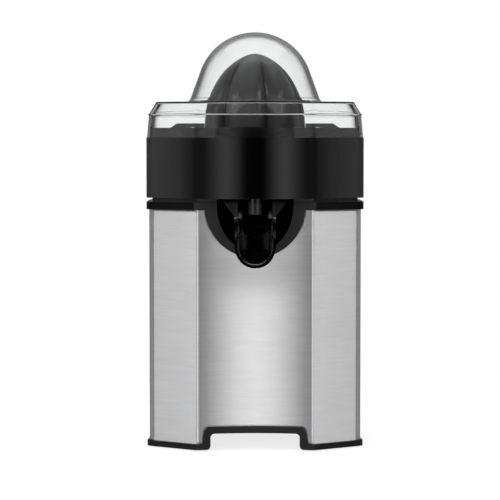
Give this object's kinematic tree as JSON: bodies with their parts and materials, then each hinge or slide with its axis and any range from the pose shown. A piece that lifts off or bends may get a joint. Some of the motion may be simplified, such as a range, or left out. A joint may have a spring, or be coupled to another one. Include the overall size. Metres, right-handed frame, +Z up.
{
  "type": "electric citrus juicer",
  "caption": "Upright electric citrus juicer with a scooped steel housing, round-fronted black juice collector, tilting spout, lobed reamer under a clear domed cover and a geared motor inside.",
  "frame": {"origin": "on the floor under the reamer's axis, at the middle of the footprint", "axes": "+Z up along the reamer's axis, -Y towards the spout and the front, +X to the right as seen from the front"},
  "size_m": [0.1554, 0.154, 0.2963],
  "materials": {
    "steel_sheet": "brushed across",
    "black_gloss": "gloss",
    "black_satin": "satin",
    "grey_plastic": "satin",
    "white_nylon": "satin",
    "ivory_plastic": "satin",
    "red_plastic": "satin",
    "clear_plastic": "clear gloss",
    "rubber": "matte",
    "core_iron": "dull",
    "copper_wire": "enamelled",
    "bronze": "sintered",
    "plated_steel": "bright plated"
  },
  "bodies": {
    "base": {"steel_sleeve": "steel_sheet", "base_tray": "black_satin", "bottom_plate": "black_satin", "bottom_screws": "plated_steel", "rubber_feet": "rubber", "cord_gland": "rubber", "terminal_block": "ivory_plastic", "top_deck": "black_satin", "tie_rods": "plated_steel", "chassis_plate": "plated_steel", "chassis_screws": "plated_steel", "stator_core": "core_iron", "coil_bobbins": "ivory_plastic", "stator_coils": "copper_wire", "rotor_strap": "plated_steel", "stator_bolts": "plated_steel", "rotor_bushes": "bronze", "gear_case": "grey_plastic", "gear_case_cover": "grey_plastic", "gear_case_screws": "plated_steel", "idler_pin": "plated_steel", "spindle_bush_lower": "bronze", "spindle_bush_upper": "bronze", "shaft_seal": "rubber", "switch_body": "black_satin"},
    "rotor": {"rotor_magnet": "core_iron", "rotor_shaft": "plated_steel", "motor_pinion": "bronze"},
    "idler": {"idler_gear": "white_nylon"},
    "output": {"output_gear": "white_nylon", "spindle": "plated_steel", "spindle_clip": "plated_steel"},
    "push_rod": {"push_rod": "plated_steel"},
    "switch_plunger": {"switch_plunger": "red_plastic"},
    "collector": {"juice_collector": "black_gloss", "spout_pins": "plated_steel"},
    "spout": {"spout": "black_gloss"},
    "basket": {"pulp_basket": "black_gloss"},
    "selector": {"pulp_selector": "black_gloss"},
    "coupling": {"drive_coupling": "grey_plastic", "return_spring": "plated_steel"},
    "reamer": {"reamer": "black_gloss"},
    "cover": {"dust_cover": "clear_plastic"}
  },
  "joints": [
    {"name": "output_spin", "type": "hinge", "parent": "base", "child": "output", "pos_m": [0, 0, 0.1], "axis": [0, 0, 1], "continuous": true},
    {"name": "idler_spin", "type": "hinge", "parent": "base", "child": "idler", "pos_m": [-0.01827, 0.02138, 0.1], "axis": [0, 0, 1], "continuous": true},
    {"name": "rotor_spin", "type": "hinge", "parent": "base", "child": "rotor", "pos_m": [0, 0.034, 0.1], "axis": [0, 0, 1], "continuous": true},
    {"name": "push_rod_slide", "type": "slide", "parent": "output", "child": "push_rod", "axis": [0, 0, 1], "range_m": [-0.003, 0]},
    {"name": "switch_press", "type": "slide", "parent": "base", "child": "switch_plunger", "axis": [0, 0, 1], "range_m": [-0.003, 0]},
    {"name": "collector_lift", "type": "slide", "parent": "base", "child": "collector", "axis": [0, 0, 1], "range_m": [0, 0.09]},
    {"name": "spout_flip", "type": "hinge", "parent": "collector", "child": "spout", "pos_m": [0, -0.0425, 0.1657], "axis": [-1, 0, 0], "range_deg": [0, 40]},
    {"name": "basket_lift", "type": "slide", "parent": "collector", "child": "basket", "axis": [0, 0, 1], "range_m": [0, 0.05]},
    {"name": "selector_turn", "type": "hinge", "parent": "basket", "child": "selector", "pos_m": [0, 0, 0.194], "axis": [0, 0, 1], "range_deg": [0, 9]},
    {"name": "coupling_spin", "type": "hinge", "parent": "basket", "child": "coupling", "pos_m": [0, 0, 0.21], "axis": [0, 0, 1], "continuous": true},
    {"name": "reamer_press", "type": "slide", "parent": "coupling", "child": "reamer", "axis": [0, 0, 1], "range_m": [-0.003, 0], "stiffness_N_per_m": 2000, "springref_m": 0.002, "deforming": ["return_spring"]},
    {"name": "cover_lift", "type": "slide", "parent": "basket", "child": "cover", "axis": [0, 0, 1], "range_m": [0, 0.09]}
  ],
  "couplings": [
    {"joint": "idler_spin", "follows": "output_spin", "ratio": -4},
    {"joint": "rotor_spin", "follows": "output_spin", "ratio": 17.143},
    {"joint": "coupling_spin", "follows": "output_spin", "ratio": 1},
    {"joint": "push_rod_slide", "follows": "reamer_press", "ratio": 1},
    {"joint": "switch_press", "follows": "reamer_press", "ratio": 1}
  ]
}
